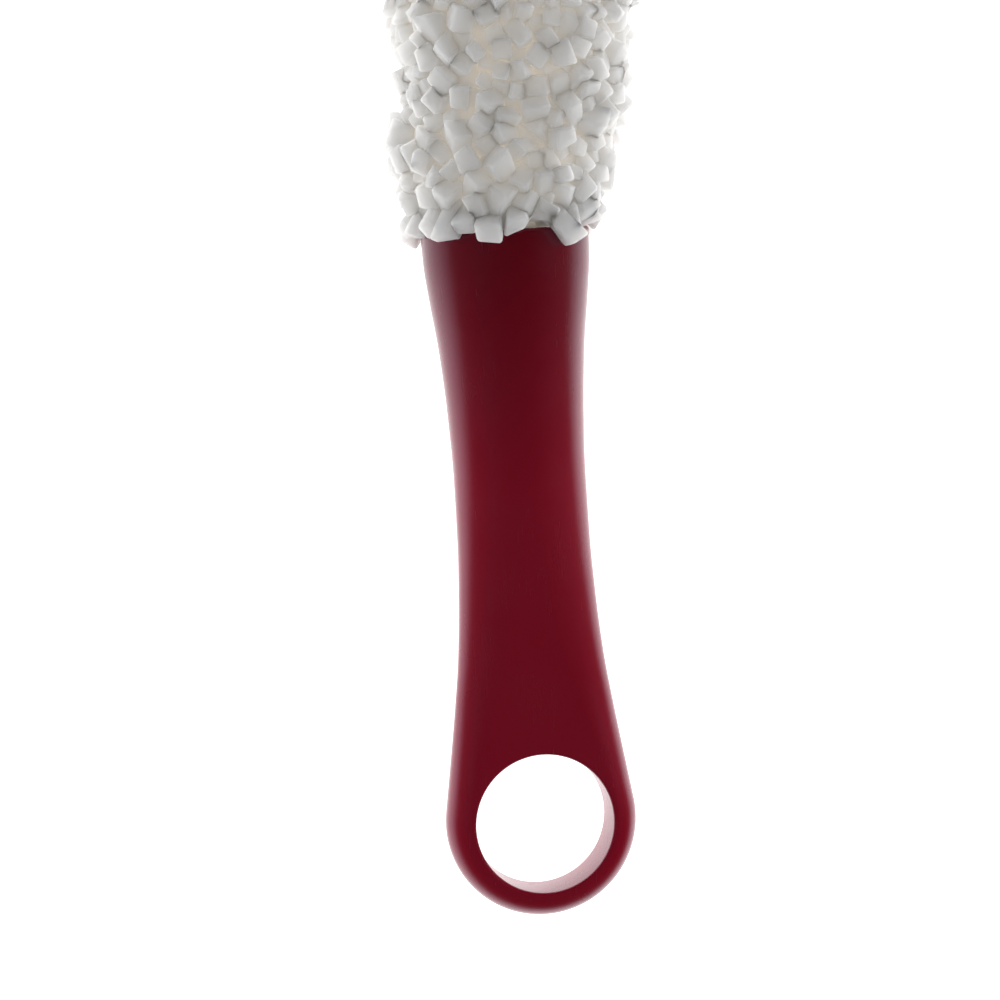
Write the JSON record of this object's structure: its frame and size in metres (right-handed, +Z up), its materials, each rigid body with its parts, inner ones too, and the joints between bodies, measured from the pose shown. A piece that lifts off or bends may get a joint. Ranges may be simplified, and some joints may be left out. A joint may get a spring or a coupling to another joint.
{
  "type": "foam bristle neck duster brush",
  "caption": "Hand brush with a long head of soft foam bristles on a twisted wire and a hollow, waisted plastic handle that ends in a ring to hang it by.",
  "frame": {"origin": "bottom centre of the brush's box, on the surface that it lies on", "axes": "+Y along the handle from its hanging ring to its mouth, and on along the head, whose neck is bent 5.5 degrees towards +X; +Z up, square to the faces of the ring; +X right, seen from above with the head at the top"},
  "size_m": [0.0676, 0.3804, 0.051],
  "materials": {
    "handle_plastic": "glossy opaque burgundy moulding, lightly scuffed by handling",
    "plug_plastic": "matt natural moulding",
    "wire_steel": "dull galvanised wire",
    "foam": "white closed-cell foam with soft, rounded edges and a fine matt skin"
  },
  "bodies": {
    "root": {"handle": "handle_plastic", "core_plug": "plug_plastic", "wire_core": "wire_steel", "foam_tier_01": "foam", "foam_tier_02": "foam", "foam_tier_03": "foam", "foam_tier_04": "foam", "foam_tier_05": "foam", "foam_tier_06": "foam", "foam_tier_07": "foam", "foam_tier_08": "foam", "foam_tier_09": "foam", "foam_tier_10": "foam", "foam_tier_11": "foam", "foam_tier_12": "foam", "foam_tier_13": "foam", "foam_tier_14": "foam", "foam_tier_15": "foam", "foam_tier_16": "foam", "foam_tier_17": "foam", "foam_tier_18": "foam", "foam_tier_19": "foam", "foam_tier_20": "foam", "foam_tier_21": "foam", "foam_tier_22": "foam", "foam_tier_23": "foam", "foam_tier_24": "foam", "foam_tier_25": "foam", "foam_tier_26": "foam", "foam_tier_27": "foam", "foam_tier_28": "foam", "foam_tip": "foam"}
  },
  "joints": []
}
